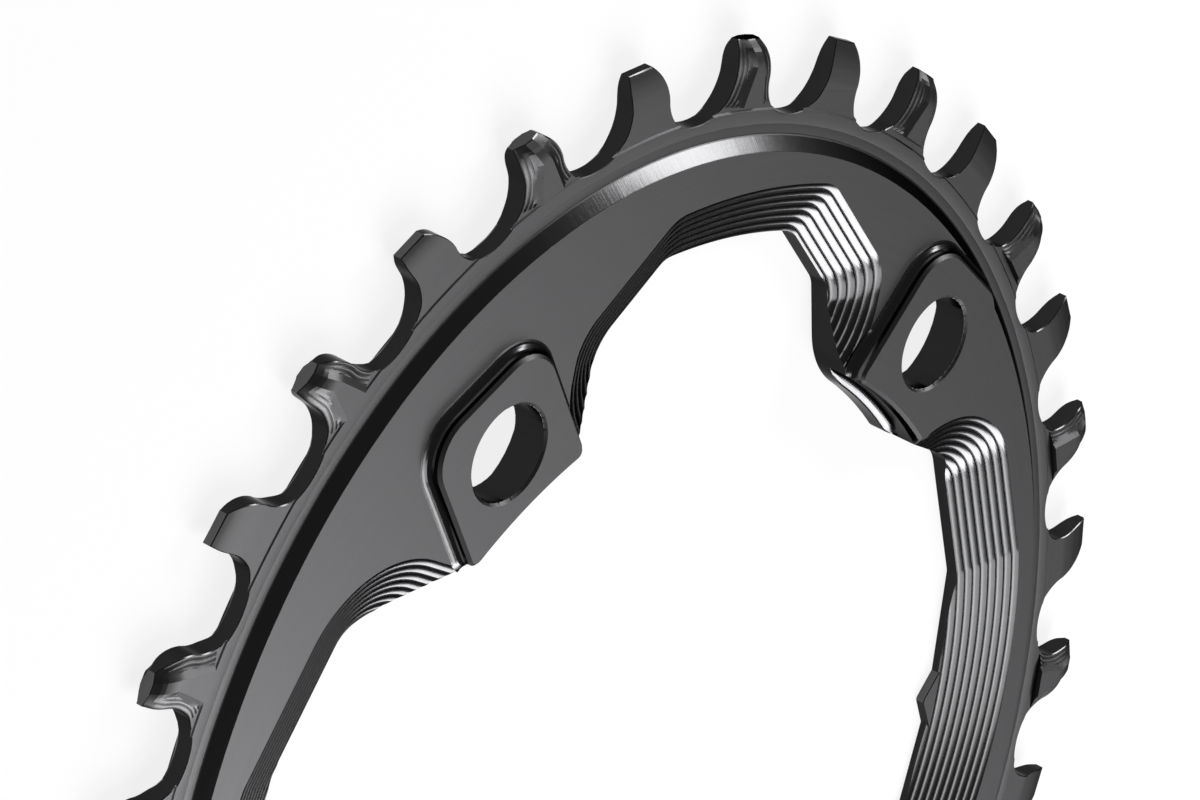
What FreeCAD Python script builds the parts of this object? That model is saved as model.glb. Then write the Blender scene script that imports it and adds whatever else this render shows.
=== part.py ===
import FreeCAD, Part
import math
import os

# Single chainring for a bicycle crank, machined from one plate of aluminium.
# The origin is on the ring's axis in the plane of its back face; +Z points out
# of the front face and X runs midway between two bolt bosses.
# All lengths are millimetres and all angles are degrees.

SIZES = [
    # chain line of the teeth: an oval on which the chain rollers sit
    ("chain_pitch", 12.7),
    ("tooth_count", 32),
    ("oval_stretch", 0.0599),
    ("oval_squareness", 0.0032),
    ("long_axis_angle", 112.17),
    ("first_gap_angle", 5.9),
    # thicknesses, all counted up from the back face
    ("flange_top", 2.6),
    ("web_top", 3.6),
    ("boss_top", 4.9),
    ("wide_tooth_thickness", 3.15),
    ("narrow_tooth_thickness", 1.85),
    # gap between two teeth, where a roller seats
    ("gap_radius", 5.3),
    ("gap_rise", 1.2),
    # outline of a tooth about the chord between its two rollers:
    # heights are outward from the chord, widths are to each side of the middle
    ("tip_height", 2.75),
    ("tip_lead_width", 0.65),
    ("tip_trail_width", 2.1),
    ("shoulder_height", 1.3),
    ("shoulder_width", 1.95),
    ("lead_waist_height", -0.5),
    ("lead_waist_width", 2.62),
    ("lead_foot_width", 4.2),
    ("lead_foot_bulge", 0.42),
    ("trail_waist_height", -0.3),
    ("trail_waist_width", 1.87),
    ("trail_foot_width", 1.98),
    # taper of the narrow teeth towards their tips
    ("narrow_taper_start", -0.6),
    ("narrow_tip_thickness", 0.5),
    # raised land and tip facets of the wide teeth
    ("land_root_depth", 2.7),
    ("land_root_lead", 1.45),
    ("land_root_trail", 1.15),
    ("land_lean_lead", 0.3),
    ("land_lean_trail", 0.205),
    ("land_steps", 3),
    ("land_step_width", 0.45),
    ("back_land_spread", 0.6),
    ("wide_taper_start", 1.0),
    ("wide_tip_thickness", 1.1),
    # rings inboard of the teeth, counted from the bottoms of the gaps
    ("flange_overhang", 0.4),
    ("flange_width", 1.7),
    ("band_width", 1.15),
    ("back_step_inset", 0.5),
    # bolts and their bosses
    ("bolt_circle", 96.0),
    ("bolt_angle", 55.0),
    ("bore_radius", 4.2),
    ("counterbore_radius", 6.3),
    ("counterbore_depth", 1.6),
    ("boss_half_width", 7.05),
    ("boss_reach", 7.1),
    ("boss_corner_radius", 4.0),
    ("boss_inner_depth", 6.5),
    ("boss_ledge_top", 1.5),
    ("inner_ledge_width", 0.8),
    # terraces that step down from the web to the open windows
    ("terrace_count", 9),
    ("terrace_width", 0.74),
    ("terrace_drop", 0.3),
    ("terrace_first_drop", 0.22),
    # windows above and below, between two close bosses
    ("high_window_rim", 10.3),
    ("high_window_side_angle", 5.0),
    ("high_window_side_reach", 23.5),
    ("high_window_slant_angle", 47.0),
    ("high_window_slant_depth", 9.3),
    ("high_window_boss_gap", 0.4),
    ("high_opening_inset", 4.9),
    ("high_opening_slant_inset", 4.4),
    ("high_opening_side_angle", 17.9),
    ("high_opening_side_reach", 27.9),
    ("high_opening_corner", 2.5),
    # windows at the sides, between two distant bosses
    ("side_window_rim", 9.35),
    ("side_window_shift", 2.1),
    ("upper_slant_angle", 26.6),
    ("upper_slant_depth", 1.4),
    ("lower_slant_angle", 26.0),
    ("lower_slant_depth", 0.2),
    ("side_window_corner", 10.1),
    ("upper_end_reach", 15.7),
    ("lower_end_reach", 16.2),
    ("side_end_angle", 112.0),
    ("side_opening_inset", 6.6),
    ("side_opening_shift", 1.2),
    ("side_opening_end_angle", 67.4),
    ("side_opening_end_inset", 2.5),
    ("side_opening_corner", 3.0),
    ("opening_blend", 2.0),
    # small pointer on the rim of one side window
    ("pointer_reach", 2.6),
    ("pointer_half_width", 3.1),
    ("pointer_tip_width", 1.1),
    ("pointer_top", 1.1),
]

doc = FreeCAD.newDocument("chainring")
sheet = doc.addObject("Spreadsheet::Sheet", "Sizes")
for row, (alias, value) in enumerate(SIZES, start=1):
    sheet.set("A%d" % row, alias.replace("_", " "))
    sheet.set("B%d" % row, str(value))
    sheet.setAlias("B%d" % row, alias)
doc.recompute()

UP = FreeCAD.Vector(0, 0, 1)

# how far a cutter or a hidden end reaches past what it meets
CLEAR = 1.0
# arcs that draw each closed oval
OVAL_ARCS = 16
# tries that settle the angle of one chain pitch
CHORD_TRIES = 8
# halvings that settle the mean radius, and the shares of a plain circle they start between
RADIUS_HALVINGS = 44
RADIUS_SHARES = (0.9, 1.2)


def size(alias):
    """One size from the sheet."""
    return float(getattr(sheet, alias))


def whole(alias):
    """One count from the sheet."""
    return int(round(size(alias)))


def point(x, y, z=0.0):
    return FreeCAD.Vector(x, y, z)


def polar(radius, angle, z=0.0):
    """Point at a radius and an angle in degrees."""
    turn = math.radians(angle)
    return point(radius * math.cos(turn), radius * math.sin(turn), z)


def feature(name, shape):
    """Document object that holds a shape worked out from the sheet."""
    made = doc.addObject("Part::Feature", name)
    made.Shape = shape
    made.Placement = FreeCAD.Placement()
    return made


# The chain line

def oval_factor(angle):
    """Radius of the oval at an angle, as a multiple of its mean radius."""
    turn = 2 * math.radians(angle - size("long_axis_angle"))
    return 1 + size("oval_stretch") * math.cos(turn) + size("oval_squareness") * math.cos(2 * turn)


def walk_gaps(mean_radius):
    """Angles of the gaps, one chain pitch after another, and the angle after the last."""
    pitch = size("chain_pitch")
    angles = [size("first_gap_angle")]
    for _ in range(whole("tooth_count")):
        here = polar(mean_radius * oval_factor(angles[-1]), angles[-1])
        step = math.degrees(pitch / mean_radius)
        for _ in range(CHORD_TRIES):
            there = polar(mean_radius * oval_factor(angles[-1] + step), angles[-1] + step)
            step = step * pitch / (there - here).Length
        angles.append(angles[-1] + step)
    return angles[:-1], angles[-1]


def solve_chain_line():
    """Mean radius at which the last chain pitch closes the round, with the gap angles."""
    circle = size("chain_pitch") * whole("tooth_count") / (2 * math.pi)
    small, large = (share * circle for share in RADIUS_SHARES)
    for _ in range(RADIUS_HALVINGS):
        middle = (small + large) / 2
        angles, end = walk_gaps(middle)
        if end - angles[0] > 360:
            small = middle
        else:
            large = middle
    return middle, angles


MEAN_RADIUS, GAP_ANGLES = solve_chain_line()


def chain_radius(angle):
    """Radius of the chain line at an angle."""
    return MEAN_RADIUS * oval_factor(angle)


def oval_wire(depth, z):
    """Closed oval a given depth inside the chain line, in arcs that share their ends."""
    angles = [180.0 / OVAL_ARCS * i for i in range(2 * OVAL_ARCS + 1)]
    places = [polar(chain_radius(angle) - depth, angle, z) for angle in angles]
    arcs = [Part.Arc(*places[2 * i:2 * i + 3]) for i in range(OVAL_ARCS)]
    return Part.Wire([arc.toShape() for arc in arcs])


def oval_slab(low_depth, low, high_depth, high):
    """Disc between two heights with an oval edge, straight or bevelled."""
    rims = [oval_wire(low_depth, low), oval_wire(high_depth, high)]
    return Part.makeLoft(rims, True, True)


# The teeth, drawn about the chord between two rollers:
# X to the leading side, Y outward, Z up

def tooth_placement(index):
    """Place of one tooth: the middle of its chord, with Y pointing outward."""
    gaps = GAP_ANGLES + [GAP_ANGLES[0] + 360]
    first = polar(chain_radius(gaps[index]), gaps[index])
    second = polar(chain_radius(gaps[index + 1]), gaps[index + 1])
    chord = first - second
    turn = math.degrees(math.atan2(chord.y, chord.x))
    return FreeCAD.Placement((first + second) / 2, FreeCAD.Rotation(UP, turn))


def bulged(start, end, bulge):
    """Middle point of an arc that stands off its chord, to the left when positive."""
    chord = end - start
    side = UP.cross(chord).normalize()
    return (start + end) / 2 + side * bulge


def gap_height(width):
    """Height of the gap's arc at a distance from the middle of the tooth."""
    across = size("chain_pitch") / 2 - width
    return size("gap_rise") - math.sqrt(size("gap_radius") ** 2 - across ** 2)


def tooth_points():
    """Corners of a tooth from its leading foot, over the tip, to its trailing foot."""
    lead_foot = size("lead_foot_width")
    trail_foot = size("trail_foot_width")
    return [
        point(lead_foot, gap_height(lead_foot)),
        point(size("lead_waist_width"), size("lead_waist_height")),
        point(size("shoulder_width"), size("shoulder_height")),
        point(size("tip_lead_width"), size("tip_height")),
        point(-size("tip_trail_width"), size("tip_height")),
        point(-size("trail_waist_width"), size("trail_waist_height")),
        point(-trail_foot, gap_height(trail_foot)),
    ]


def tooth_edges(placement):
    """Flanks and tip of one tooth, from the leading foot to the trailing foot."""
    lead_foot, lead_waist, shoulder, lead_tip, trail_tip, trail_waist, trail_foot = tooth_points()
    lead_bend = bulged(lead_foot, lead_waist, size("lead_foot_bulge"))
    at = placement.multVec
    return [
        Part.Arc(at(lead_foot), at(lead_bend), at(lead_waist)).toShape(),
        Part.LineSegment(at(lead_waist), at(shoulder)).toShape(),
        Part.LineSegment(at(shoulder), at(lead_tip)).toShape(),
        Part.LineSegment(at(lead_tip), at(trail_tip)).toShape(),
        Part.LineSegment(at(trail_tip), at(trail_waist)).toShape(),
        Part.LineSegment(at(trail_waist), at(trail_foot)).toShape(),
    ]


def plate_outline():
    """Outline of all the teeth and the gaps between them."""
    count = whole("tooth_count")
    places = [tooth_placement(i) for i in range(count)]
    corners = tooth_points()
    edges = []
    for i in range(count):
        angle = GAP_ANGLES[i]
        root = polar(chain_radius(angle) + size("gap_rise") - size("gap_radius"), angle)
        before = places[i - 1].multVec(corners[-1])
        after = places[i].multVec(corners[0])
        edges.append(Part.Arc(before, root, after).toShape())
        edges.extend(tooth_edges(places[i]))
    return Part.Face(Part.Wire(edges))


def slab(face, low, high):
    """Solid over a flat face between two heights."""
    lifted = face.copy()
    lifted.translate(point(0, 0, low))
    return lifted.extrude(point(0, 0, high - low))


def single_tooth(low, high):
    """Solid of one tooth down to its feet, in the tooth's own place."""
    edges = tooth_edges(FreeCAD.Placement())
    corners = tooth_points()
    base = point(corners[-1].x, corners[0].y)
    edges.append(Part.LineSegment(corners[-1], base).toShape())
    edges.append(Part.LineSegment(base, corners[0]).toShape())
    return slab(Part.Face(Part.Wire(edges)), low, high)


def land_polygon(spread):
    """Face of a wide tooth's raised land, widened on both flanks."""
    root = -size("land_root_depth")
    top = size("tip_height")
    rise = top - root
    lead_root = size("land_root_lead") + spread
    trail_root = -size("land_root_trail") - spread
    lead_top = lead_root - size("land_lean_lead") * rise
    trail_top = trail_root + size("land_lean_trail") * rise
    if lead_top > trail_top:
        upper = [point(lead_top, top), point(trail_top, top)]
    else:
        meet = (lead_root - trail_root) / (size("land_lean_lead") + size("land_lean_trail"))
        upper = [point(lead_root - size("land_lean_lead") * meet, root + meet)]
    corners = [point(lead_root, root)] + upper + [point(trail_root, root)]
    return Part.Face(Part.makePolygon(corners + corners[:1]))


def wide_tooth_solid():
    """Wide tooth: a land that steps down along both flanks in front, and a plain one behind."""
    thickness = size("wide_tooth_thickness")
    relief = (thickness - size("narrow_tooth_thickness")) / 2
    count = whole("land_steps")
    levels = [slab(land_polygon(size("back_land_spread")), 0, thickness / 2)]
    for i in range(count):
        top = thickness - relief * i / count
        levels.append(slab(land_polygon(size("land_step_width") * i), relief, top))
    stack = levels[0].fuse(levels[1:])
    return stack.common(single_tooth(0, thickness))


def tip_cutter(start, thick, thin):
    """Two wedges that take the faces of a tooth down to its thinner tip."""
    middle = size("wide_tooth_thickness") / 2
    reach = size("chain_pitch") / 4
    beyond = size("tip_height") + CLEAR
    wedges = []
    for side, facets in ((1, 2), (-1, 1)):
        profile = curved_taper(start, thick, thin, facets)
        last = profile[-1]
        corners = [point(-reach, out, middle + side * half) for out, half in profile]
        corners.append(point(-reach, beyond, middle + side * last[1]))
        corners.append(point(-reach, beyond, middle + side * (middle + CLEAR)))
        corners.append(point(-reach, profile[0][0], middle + side * (middle + CLEAR)))
        face = Part.Face(Part.makePolygon(corners + corners[:1]))
        wedges.append(face.extrude(point(2 * reach, 0, 0)))
    return Part.makeCompound(wedges)


def curved_taper(start, thick, thin, facets):
    """Profile of a face that falls away in facets, gently first, steeper at the tip."""
    tip = size("tip_height")
    profile = []
    for i in range(facets + 1):
        share = i / facets
        half = (thick - (thick - thin) * share ** 2) / 2
        profile.append((start + (tip - start) * share, half))
    return profile


def placed_copies(shape, odd):
    """Copies of a tooth's shape on every second tooth."""
    copies = []
    for i in range(odd, whole("tooth_count"), 2):
        copy = shape.copy()
        copy.Placement = tooth_placement(i)
        copies.append(copy)
    return Part.makeCompound(copies)


def tapers():
    """Everything that is cut off the tips of the narrow and the wide teeth."""
    cuts = []
    for odd, kind in enumerate(("narrow", "wide")):
        start = size(kind + "_taper_start")
        wedges = tip_cutter(start, size(kind + "_tooth_thickness"), size(kind + "_tip_thickness"))
        cuts.extend(placed_copies(wedges, odd).Solids)
    return Part.makeCompound(cuts)


# The windows: each is the inside of a few straight sides and one round side

def half_plane_corners(sides):
    """Corners where each straight side, given as normal angle and distance, meets the next."""
    corners = []
    for i in range(len(sides)):
        first_angle, first_reach = sides[i]
        next_angle, next_reach = sides[(i + 1) % len(sides)]
        a, b = math.radians(first_angle), math.radians(next_angle)
        bend = math.sin(b - a)
        x = (first_reach * math.sin(b) - next_reach * math.sin(a)) / bend
        y = (next_reach * math.cos(a) - first_reach * math.cos(b)) / bend
        corners.append(point(x, y))
    return corners


def is_upright(edge):
    first, last = edge.Vertexes[0].Point, edge.Vertexes[-1].Point
    return math.hypot(first.x - last.x, first.y - last.y) < 1e-6


def rounded(solid, corners, radius):
    """Solid with its upright edges at the given corners rounded."""
    chosen = []
    for edge in filter(is_upright, solid.Edges):
        foot = edge.Vertexes[0].Point
        if any(math.hypot(foot.x - corner.x, foot.y - corner.y) < 1e-4 for corner in corners):
            chosen.append(edge)
    return solid.makeFillet(radius, chosen)


def clipped(corners, angle, reach):
    """Part of a convex polygon that lies behind a straight side."""
    normal = polar(1, angle)
    kept = []
    for i, corner in enumerate(corners):
        before = corners[i - 1]
        past, past_before = corner.dot(normal) - reach, before.dot(normal) - reach
        if past * past_before < 0:
            kept.append(before + (corner - before) * (past_before / (past_before - past)))
        if past <= 0:
            kept.append(corner)
    return kept


def straight_prism(sides, low, high):
    """Upright block inside the straight sides."""
    far = size("bolt_circle")
    corners = [point(far, far), point(-far, far), point(-far, -far), point(far, -far)]
    for angle, reach in sides:
        corners = clipped(corners, angle, reach)
    return slab(Part.Face(Part.makePolygon(corners + corners[:1])), low, high)


def inside_circle(block, centre, radius, low, high):
    """Part of an upright block that lies inside a circle."""
    return block.common(Part.makeCylinder(radius, high - low, point(centre.x, centre.y, low)))


def circle_crossing(side, centre, radius, turn):
    """Where a straight side crosses the circle, on the side towards the given turn."""
    angle, reach = side
    near = reach - polar(1, angle).dot(centre)
    swing = math.degrees(math.acos(near / radius))
    return centre + polar(radius, angle + turn * swing)


def high_window(inset, low, high):
    """Terrace outline of the window between the two close bosses, along whose walls it ends."""
    radius = chain_radius(90) - size("high_window_rim")
    boss_side = size("bolt_angle") - 90
    sides = [
        (boss_side, -size("boss_half_width") - size("high_window_boss_gap")),
        (size("high_window_side_angle"), size("high_window_side_reach")),
        (size("high_window_slant_angle"), radius - size("high_window_slant_depth")),
    ]
    sides = [(angle, reach - inset) for angle, reach in sides]
    sides += [(180 - angle, reach) for angle, reach in reversed(sides)]
    sides.append((270, size("boss_half_width") - inner_radius()))
    return inside_circle(straight_prism(sides, low, high), point(0, 0), radius - inset, low, high)


def high_opening(low, high):
    """Open outline of the same window, right through the plate."""
    radius = chain_radius(90) - size("high_window_rim")
    angle = size("high_window_slant_angle")
    slant = radius - size("high_window_slant_depth") - size("high_opening_slant_inset")
    lean = size("high_opening_side_angle")
    reach = size("high_opening_side_reach")
    sides = [(lean, reach), (angle, slant), (180 - angle, slant), (180 - lean, reach)]
    sides.append((270, -inner_radius() / 2))
    round_radius = radius - size("high_opening_inset")
    block = inside_circle(straight_prism(sides, low, high), point(0, 0), round_radius, low, high)
    corners = half_plane_corners(sides)
    bends = [corners[0], corners[2]]
    bends.append(circle_crossing(sides[1], point(0, 0), round_radius, 1))
    bends.append(circle_crossing(sides[2], point(0, 0), round_radius, -1))
    return rounded(block, bends, size("high_opening_corner"))


def side_window(inset, low, high):
    """Terrace outline of the window between the two distant bosses, on the +X side."""
    radius = chain_radius(0) - size("side_window_rim")
    end = size("side_end_angle")
    sides = [
        (-end, size("lower_end_reach") - inset),
        (-size("lower_slant_angle"), radius - size("lower_slant_depth") - inset),
        (size("upper_slant_angle"), radius - size("upper_slant_depth") - inset),
        (end, size("upper_end_reach") - inset),
        (180, -inner_radius() / 2),
    ]
    corners = half_plane_corners(sides)
    block = straight_prism(sides, low, high)
    block = rounded(block, [corners[0], corners[2]], size("side_window_corner") - inset)
    return inside_circle(block, point(0, -size("side_window_shift")), radius - inset, low, high)


def side_opening(low, high):
    """Open outline of the side window, right through the plate."""
    radius = chain_radius(0) - size("side_window_rim") - size("side_opening_inset")
    end = size("side_opening_end_angle")
    reach = inner_radius() - size("side_opening_end_inset")
    sides = [(-end, reach), (end, reach), (180, -inner_radius() / 2)]
    centre = point(0, -size("side_opening_shift"))
    block = inside_circle(straight_prism(sides, low, high), centre, radius, low, high)
    bends = [circle_crossing(sides[0], centre, radius, 1), circle_crossing(sides[1], centre, radius, -1)]
    return rounded(block, bends, size("side_opening_corner"))


def opposite(shape):
    """The same shape half a turn further round the ring's axis."""
    turned = shape.copy()
    turned.rotate(point(0, 0, 0), UP, 180)
    return turned


def ledge_radius():
    """Radius of the bosses' inner ends."""
    return size("bolt_circle") / 2 - size("boss_inner_depth")


def inner_radius():
    """Radius of the ring's inner edge behind the bosses."""
    return ledge_radius() - size("inner_ledge_width")


def terraces():
    """Stack of window outlines, each one step further in and one step deeper."""
    ceiling = size("boss_top") + CLEAR
    steps = []
    for i in range(whole("terrace_count")):
        inset = size("terrace_width") * i
        floor = size("web_top") - size("terrace_first_drop") - size("terrace_drop") * i
        for block in (high_window(inset, floor, ceiling), side_window(inset, floor, ceiling)):
            steps.append(block)
            steps.append(opposite(block))
        ceiling = floor
    return Part.makeCompound(steps)


def through_opening():
    """The single opening in the middle: a round hole that runs out into four windows."""
    low = -CLEAR
    high = size("boss_top") + CLEAR
    drum = Part.makeCylinder(inner_radius(), high - low, point(0, 0, low))
    high_block = high_opening(low, high)
    side_block = side_opening(low, high)
    blocks = [high_block, side_block, opposite(high_block), opposite(side_block)]
    whole_hole = drum.fuse(blocks).removeSplitter()
    joins = []
    for edge in filter(is_upright, whole_hole.Edges):
        foot = edge.Vertexes[0].Point
        if abs(math.hypot(foot.x, foot.y) - inner_radius()) < 1e-4:
            joins.append(edge)
    return whole_hole.makeFillet(size("opening_blend"), joins)


def pointer():
    """Small pointed lug on the rim of the +X window."""
    rim = chain_radius(0) - size("side_window_rim") - size("side_opening_inset")
    half = size("pointer_half_width")
    tip = size("pointer_tip_width") / 2
    near = rim - size("pointer_reach")
    corners = [point(rim + CLEAR, -half), point(rim, -half), point(near, -tip), point(near, tip)]
    corners += [point(rim, half), point(rim + CLEAR, half)]
    return slab(Part.Face(Part.makePolygon(corners + corners[:1])), 0, size("pointer_top"))


# The toothed rim: a plate as thick as a narrow tooth, with the flange's edge
# and the wide teeth added, and a wide hole that the disc fills

middle_height = size("wide_tooth_thickness") / 2
plate_low = middle_height - size("narrow_tooth_thickness") / 2
plate_high = middle_height + size("narrow_tooth_thickness") / 2
root_depth = size("gap_radius") - size("gap_rise")
flange_depth = root_depth - size("flange_overhang")
band_depth = root_depth + size("flange_width")
step_depth = root_depth + size("back_step_inset")
back_depth = step_depth + plate_low

outline = plate_outline()
rim_hole = oval_slab(back_depth, -CLEAR, back_depth, size("boss_top"))
tooth_plate = slab(outline, plate_low, plate_high).cut(rim_hole)
plate = feature("toothed_plate", tooth_plate)

flange_disc = oval_slab(flange_depth, plate_high, flange_depth, size("flange_top"))
flange_layer = slab(outline, plate_high, size("flange_top"))
flange = feature("flange_edge", flange_disc.common(flange_layer).cut(rim_hole))
wide_teeth = feature("wide_teeth", placed_copies(wide_tooth_solid(), 1))

square_rim = doc.addObject("Part::MultiFuse", "square_rim")
square_rim.Shapes = [plate, flange, wide_teeth]
square_rim.Refine = True
toothed_rim = doc.addObject("Part::Cut", "toothed_rim")
toothed_rim.Base = square_rim
toothed_rim.Tool = feature("tip_tapers", tapers())


# The disc: a bevelled back plate, the flange and the raised web with its band

back = feature("back_plate", oval_slab(back_depth, 0, step_depth, plate_low))
core = feature("flange_core", oval_slab(step_depth, plate_low, step_depth, size("flange_top")))
web_depth = band_depth + size("band_width")
web = feature("web", oval_slab(band_depth, size("flange_top"), web_depth, size("web_top")))
disc = doc.addObject("Part::MultiFuse", "disc")
disc.Shapes = [back, core, web]
terraced_disc = doc.addObject("Part::Cut", "terraced_disc")
terraced_disc.Base = disc
terraced_disc.Tool = feature("window_terraces", terraces())
doc.recompute()


# Bolt bosses: four rounded blocks, each in line with the ring's axis

def bolt_angles():
    """The four bolt directions, written in terms of the sheet."""
    return [turn + "Sizes.bolt_angle" for turn in ("", "180 - ", "180 + ", "360 - ")]


def make_boss(number, angle):
    """Boss block with round outer corners and a curved inner end."""
    block = doc.addObject("Part::Box", "boss_block_%d" % number)
    inner_edge = "Sizes.bolt_circle / 2 - Sizes.boss_inner_depth - Sizes.inner_ledge_width"
    inner_end = "(%s - %g)" % (inner_edge, 2 * CLEAR)
    block.setExpression("Length", "Sizes.bolt_circle / 2 + Sizes.boss_reach - " + inner_end)
    block.setExpression("Width", "2 * Sizes.boss_half_width")
    block.setExpression("Height", "Sizes.boss_top")
    places = (inner_end, angle, "Sizes.boss_half_width", angle)
    block.setExpression(".Placement.Base.x", "%s * cos(%s) + %s * sin(%s)" % places)
    block.setExpression(".Placement.Base.y", "%s * sin(%s) - %s * cos(%s)" % places)
    block.setExpression(".Placement.Rotation.Angle", angle)
    doc.recompute()

    middle = size("bolt_circle") / 2
    corners = doc.addObject("Part::Fillet", "boss_corners_%d" % number)
    corners.Base = block
    outer = [
        i for i, edge in enumerate(block.Shape.Edges, start=1)
        if is_upright(edge) and math.hypot(edge.CenterOfMass.x, edge.CenterOfMass.y) > middle
    ]
    corners.Edges = [(i, size("boss_corner_radius"), size("boss_corner_radius")) for i in outer]

    hollow = doc.addObject("Part::Cylinder", "boss_hollow_%d" % number)
    hollow.setExpression("Radius", "Sizes.bolt_circle / 2 - Sizes.boss_inner_depth")
    hollow.setExpression("Height", "Sizes.boss_top")
    hollow.setExpression(".Placement.Base.z", "Sizes.boss_ledge_top")
    curved = doc.addObject("Part::Cut", "boss_curved_%d" % number)
    curved.Base = corners
    curved.Tool = hollow
    doc.recompute()
    return curved


def make_bore(number, angle):
    """Through bore with a flat counterbore in the back."""
    bore = doc.addObject("Part::Cylinder", "bore_%d" % number)
    bore.setExpression("Radius", "Sizes.bore_radius")
    bore.setExpression("Height", "Sizes.boss_top")
    recess = doc.addObject("Part::Cylinder", "counterbore_%d" % number)
    recess.setExpression("Radius", "Sizes.counterbore_radius")
    recess.setExpression("Height", "Sizes.counterbore_depth")
    for cutter in (bore, recess):
        cutter.setExpression(".Placement.Base.x", "Sizes.bolt_circle / 2 * cos(%s)" % angle)
        cutter.setExpression(".Placement.Base.y", "Sizes.bolt_circle / 2 * sin(%s)" % angle)
    return [bore, recess]


bosses = []
bores = []
for number, angle in enumerate(bolt_angles(), start=1):
    bosses.append(make_boss(number, angle))
    bores.extend(make_bore(number, angle))

bossed_disc = doc.addObject("Part::MultiFuse", "bossed_disc")
bossed_disc.Shapes = [terraced_disc] + bosses

# Above the ledge the bosses' inner ends stand back from the ring's inner edge
ledge_cut = doc.addObject("Part::Cylinder", "ledge_cut")
ledge_cut.setExpression("Radius", "Sizes.bolt_circle / 2 - Sizes.boss_inner_depth")
ledge_cut.setExpression("Height", "Sizes.boss_top")
ledge_cut.setExpression(".Placement.Base.z", "Sizes.boss_ledge_top")
stepped_opening = doc.addObject("Part::MultiFuse", "stepped_opening")
stepped_opening.Shapes = [feature("middle_opening", through_opening()), ledge_cut]
open_disc = doc.addObject("Part::Cut", "open_disc")
open_disc.Base = bossed_disc
open_disc.Tool = stepped_opening

bolt_holes = doc.addObject("Part::MultiFuse", "bolt_holes")
bolt_holes.Shapes = bores
bored_disc = doc.addObject("Part::Cut", "bored_disc")
bored_disc.Base = open_disc
bored_disc.Tool = bolt_holes

chainring = doc.addObject("Part::MultiFuse", "chainring")
chainring.Shapes = [bored_disc, toothed_rim, feature("rim_pointer", pointer())]
chainring.Refine = True
chainring.Label = "chainring"
doc.recompute()


# Every object must have been built, and the ring must be one sound solid

for item in doc.Objects:
    if "Invalid" in item.State or "Error" in item.State:
        raise RuntimeError("not built: " + item.Name)

ring = chainring.Shape
if ring.isNull() or not ring.isValid():
    raise RuntimeError("the chainring's shape is not sound")
if len(ring.Solids) != 1:
    raise RuntimeError("the chainring is %d solids" % len(ring.Solids))

box = ring.BoundBox
print("solids %d, faces %d" % (len(ring.Solids), len(ring.Faces)))
print("box %.2f x %.2f x %.2f mm, volume %.1f mm3" % (box.XLength, box.YLength, box.ZLength, ring.Volume))

os.makedirs("parts", exist_ok=True)
for part in (chainring,):
    part.Shape.exportStep("parts/%s.step" % part.Label)
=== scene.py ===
import math

import bmesh
import bpy
import numpy as np
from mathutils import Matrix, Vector
from mathutils.geometry import tessellate_polygon


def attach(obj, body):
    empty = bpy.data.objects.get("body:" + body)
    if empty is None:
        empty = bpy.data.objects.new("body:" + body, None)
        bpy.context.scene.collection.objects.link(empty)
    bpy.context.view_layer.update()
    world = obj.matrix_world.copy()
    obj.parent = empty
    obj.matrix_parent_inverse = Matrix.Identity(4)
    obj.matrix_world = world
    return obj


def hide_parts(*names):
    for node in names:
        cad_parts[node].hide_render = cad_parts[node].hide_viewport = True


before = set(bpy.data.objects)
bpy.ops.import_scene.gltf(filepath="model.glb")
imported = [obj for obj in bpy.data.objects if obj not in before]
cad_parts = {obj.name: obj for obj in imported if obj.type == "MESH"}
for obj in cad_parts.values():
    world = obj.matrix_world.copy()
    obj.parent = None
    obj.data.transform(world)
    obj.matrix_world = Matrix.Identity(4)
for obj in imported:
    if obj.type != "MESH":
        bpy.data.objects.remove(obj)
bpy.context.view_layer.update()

# An oval narrow-wide chainring, machined out of one plate, that lies flat on its back.
# Sizes are millimetres and degrees, and they become metres only when the mesh is made.
# Z runs up through the front face. Odd teeth are wide and even ones are narrow.

MM = 0.001

# how closely places and radii are searched, and the share of a step that counts as none
CHAIN_SEARCH = (0.9, 1.2)
CHAIN_HALVINGS = 44
PITCH_TRIES = 8
FIELD_HALVINGS = 40
CORNER_TRIES = 60
CREASE_TRIES = 6
FAR_OUTSIDE = -100.0
STEP_SLACK = 1e-9

# chain line of the teeth
CHAIN_PITCH = 12.7
TOOTH_COUNT = 32
OVAL_STRETCH = 0.0599
OVAL_SQUARENESS = 0.0032
LONG_AXIS_ANGLE = 112.17
FIRST_GAP_ANGLE = 5.9

# heights above the back face
FLANGE_TOP = 2.6
WEB_TOP = 3.6
BOSS_TOP = 4.9
WIDE_THICKNESS = 3.15
NARROW_THICKNESS = 1.85
TOOTH_MIDDLE = WIDE_THICKNESS / 2
TOOTH_FACE = TOOTH_MIDDLE + NARROW_THICKNESS / 2
PLATE_LOW = TOOTH_MIDDLE - NARROW_THICKNESS / 2

# gaps between the teeth
GAP_RADIUS = 5.3
GAP_RISE = 1.2
ROOT_DEPTH = GAP_RADIUS - GAP_RISE

# outline of a tooth: along its chord and outward from it
TIP_HEIGHT = 2.75
LEAD_TIP = (0.65, TIP_HEIGHT)
TRAIL_TIP = (-2.1, TIP_HEIGHT)
LEAD_SHOULDER = (1.95, 1.3)
LEAD_WAIST = (2.62, -0.5)
LEAD_FOOT_WIDTH = 4.2
LEAD_FOOT_BULGE = 0.42
TRAIL_FOOT_WIDTH = 2.4
TRAIL_CALF = (-2.03, -1.4)
TRAIL_WAIST = (-1.86, -0.4)
TRAIL_SHOULDER_HEIGHT = 1.9
EDGE_BREAK = 0.07
ROOT_CHAMFER = 0.5
ROOT_CHAMFER_END = -2.2
ROOT_CHAMFER_FADE = 1.4

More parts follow.
